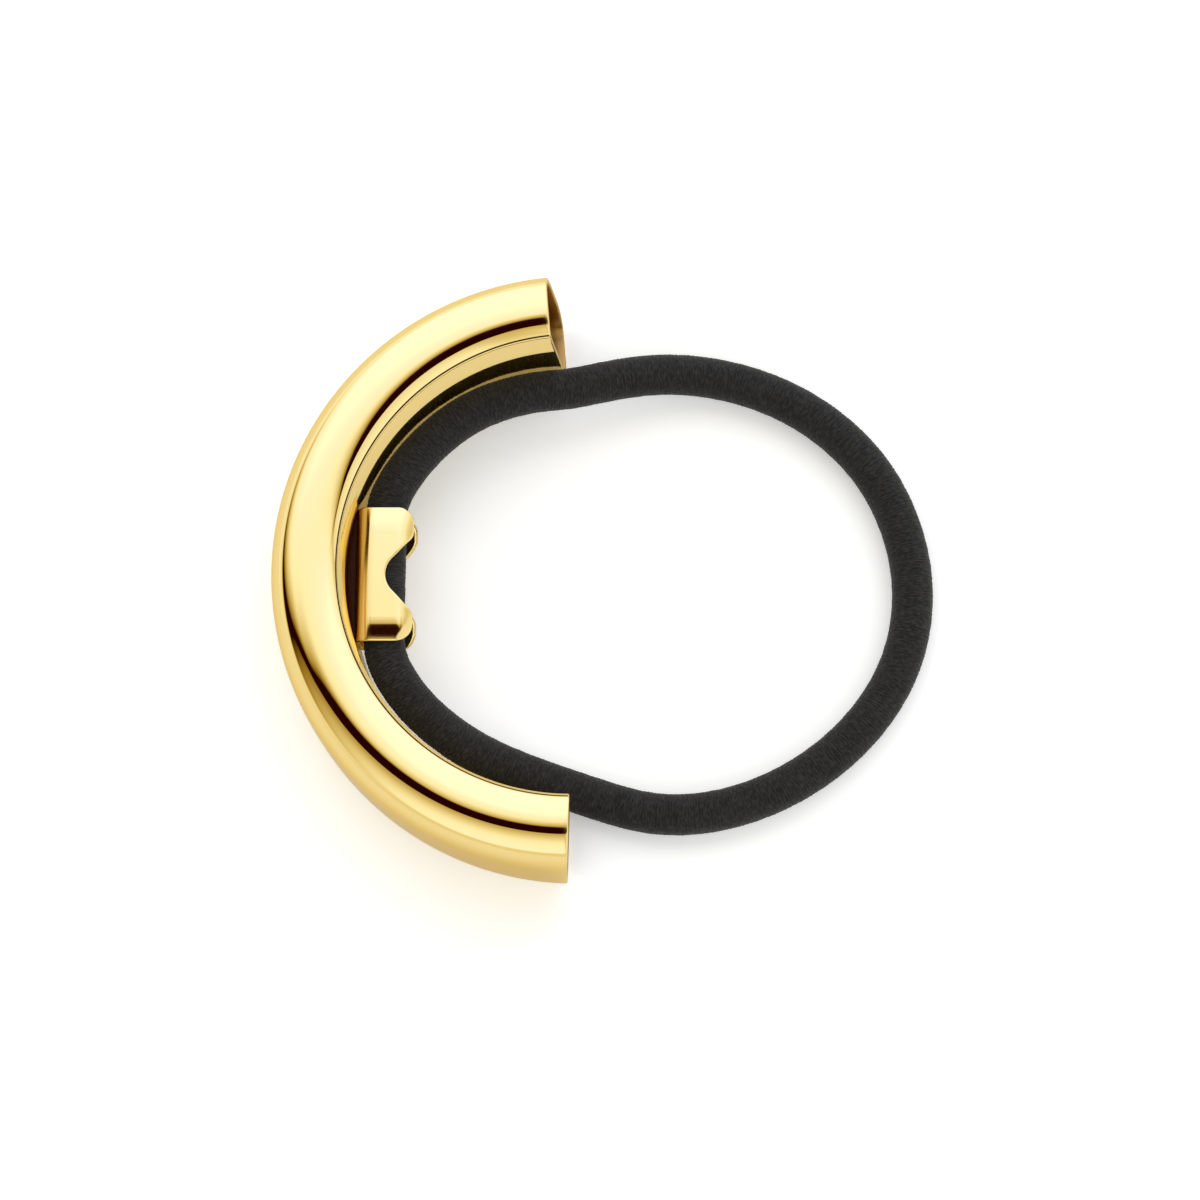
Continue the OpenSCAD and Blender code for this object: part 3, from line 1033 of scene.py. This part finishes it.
world = bpy.data.worlds.new("studio")
bpy.context.scene.world = world
world.use_nodes = True
sky = world.node_tree
sky.nodes.clear()
plus, minus, times, over, higher, power = (
    partial(sum_of, sky, operation)
    for operation in ("ADD", "SUBTRACT", "MULTIPLY", "DIVIDE", "MAXIMUM", "POWER")
)


def line(value, slope, start):
    """Start plus slope times the value."""
    return sum_of(sky, "MULTIPLY_ADD", value, slope, start)


def size(value):
    """The value without its sign."""
    return sum_of(sky, "ABSOLUTE", value)


def ease(value, start, stop, low=0.0, high=1.0):
    """A smooth step: low before start, high after stop."""
    return remap(sky, value, start, stop, low, high, "SMOOTHSTEP")


def blend(first, second, share):
    """First plus share times the difference: a plain mix of two lights."""
    return remap(sky, share, 0.0, 1.0, first, second)


def fade(value):
    """e to the power of minus the value."""
    return power(math.e, times(value, -1.0))


def fill_up(distance, scale):
    """One less e to the power of minus distance over scale: quick at first, then ever slower."""
    return minus(1.0, fade(over(higher(distance, 0.0), scale)))


def past(value, start):
    """How far a value lies past its start, and zero before it, squared."""
    return power(higher(minus(value, start), 0.0), 2.0)


# %% [markdown]
# Dividing a ray by its upward part lays the directions out flat, as if painted on a ceiling one
# metre up: p runs to the right and q away from the camera.

# %% Studio: ceiling coordinates
LOWEST_RAY = 0.03

ray = add_node(
    sky, "ShaderNodeSeparateXYZ", Vector=add_node(sky, "ShaderNodeTexCoord").outputs["Generated"]
).outputs
upward = higher(ray["Z"], LOWEST_RAY)
p, q = over(ray["X"], upward), over(ray["Y"], upward)
leftwards, rightwards = higher(times(p, -1.0), 0.0), higher(p, 0.0)
print("ceiling coordinates from", len(sky.nodes), "nodes")

# %% [markdown]
# The gap has a middle line and a half width. Overhead it is widest. To the right it narrows to a
# thin line that drifts away from the camera, and to the left its far edge drifts off as well.

# %% Studio: the gap
SIDE_LIGHT = 0.66

gap_middle = higher(
    line(rightwards, slope=0.05, start=0.11), line(rightwards, slope=0.23, start=0.06)
)
gap_half = higher(line(rightwards, slope=-0.15, start=0.05), 0.012)
left_drift = line(past(leftwards, 0.6), slope=0.45, start=ease(leftwards, 0.15, 0.35, high=-0.04))
far_edge = plus(plus(gap_middle, gap_half), left_drift)
near_edge = minus(gap_middle, gap_half)
gap_light = ease(rightwards, 0.25, 0.6, high=SIDE_LIGHT)
print("gap made, studio of", len(sky.nodes), "nodes so far")

# %% [markdown]
# Each box brightens away from the gap, because its cloth is lit from behind its middle. How fast
# it does so depends on the side: close to crisp overhead, and softer the farther it runs left or
# right. The camera itself takes away some of the near box.

# %% Studio: the two boxes
FAR_BRIGHTEST, NEAR_BRIGHTEST = 1.78, 1.62
CAMERA_SHADE = 0.4

left_squared, right_squared = power(leftwards, 2.0), power(rightwards, 2.0)
far_scale = plus(line(left_squared, slope=0.5, start=0.05), times(right_squared, 0.35))
far_base = ease(rightwards, 0.3, 0.55, high=SIDE_LIGHT)
far_box = blend(far_base, FAR_BRIGHTEST, fill_up(minus(q, far_edge), far_scale))

into_near = minus(near_edge, q)
near_left = times(NEAR_BRIGHTEST, fill_up(
    plus(into_near, line(leftwards, slope=-0.1, start=0.1)),
    line(left_squared, slope=0.38, start=0.17),
))
near_right = line(fill_up(into_near, 0.3), slope=0.2, start=0.87)
off_camera = over(line(q, slope=0.28, start=p), line(size(q), slope=0.1, start=0.05))
camera_shade = over(
    times(CAMERA_SHADE, fade(past(off_camera, 0.0))), line(size(q), slope=0.8, start=1.0)
)
near_box = times(
    blend(near_left, near_right, ease(p, -0.06, 0.05)), minus(1.0, camera_shade)
)
print("boxes made, studio of", len(sky.nodes), "nodes so far")

# %% [markdown]
# The three parts are put together, and far to the left the boxes end at a pale wall.

# %% Studio: the ceiling
FAR_SOFT, NEAR_SOFT = 0.004, 0.006
LEFT_WALL = 0.8

in_far = ease(q, minus(far_edge, FAR_SOFT), plus(far_edge, FAR_SOFT))
in_near = ease(q, minus(near_edge, NEAR_SOFT), near_edge, low=1.0, high=0.0)
in_gap = minus(minus(1.0, in_far), in_near)
ceiling = plus(times(far_box, in_far), line(near_box, in_near, times(gap_light, in_gap)))
ceiling = blend(ceiling, LEFT_WALL, ease(leftwards, 1.65, 2.3))
print("ceiling made, studio of", len(sky.nodes), "nodes so far")

# %% [markdown]
# Low down, the boxes end and the room's walls take over, palest behind the object. What is dark in
# this room is warm brown rather than grey, which is why the gap shows maroon in the gold. The
# brightest cloth is a little cooler where it is mirrored, so that the gold stays pale there and
# doesn't turn to lemon. Rays that come straight from the camera see a plain white backdrop.

# %% Studio: walls, tint and backdrop
WALL_NEAR, WALL_FAR = 0.76, 1.05
COOL_CLOTH, WHITE = (0.80, 0.78, 1.0, 1), (1.0, 1.0, 1.0, 1)

wall_light = ease(ray["Y"], -1.0, 1.0, WALL_NEAR, WALL_FAR)
room = blend(wall_light, ceiling, ease(ray["Z"], 0.22, 0.44))
tint = ramp(
    sky, room,
    (0.0, (0.018, 0.001, 0.0005, 1)), (0.1, (0.18, 0.1, 0.01, 1)), (0.25, (0.36, 0.25, 0.063, 1)),
    (0.5, (0.6, 0.5, 0.25, 1)), (0.75, (0.81, 0.75, 0.56, 1)), (1.0, WHITE),
)
kind_of_ray = add_node(sky, "ShaderNodeLightPath").outputs
mirrored_cloth = times(kind_of_ray["Is Glossy Ray"], ease(room, 1.0, 1.5))
tint = mix_colours(sky, mirrored_cloth, tint, COOL_CLOTH)
seen = kind_of_ray["Is Camera Ray"]
glow = add_node(
    sky, "ShaderNodeBackground", Color=mix_colours(sky, seen, tint, WHITE),
    Strength=blend(higher(room, 1.0), 1.0, seen),
)
connect(sky, glow.outputs[0], add_node(sky, "ShaderNodeOutputWorld").inputs["Surface"])
bpy.context.scene.view_settings.view_transform = "Standard"
bpy.context.scene.view_settings.look = "None"
print("studio of", len(sky.nodes), "nodes")
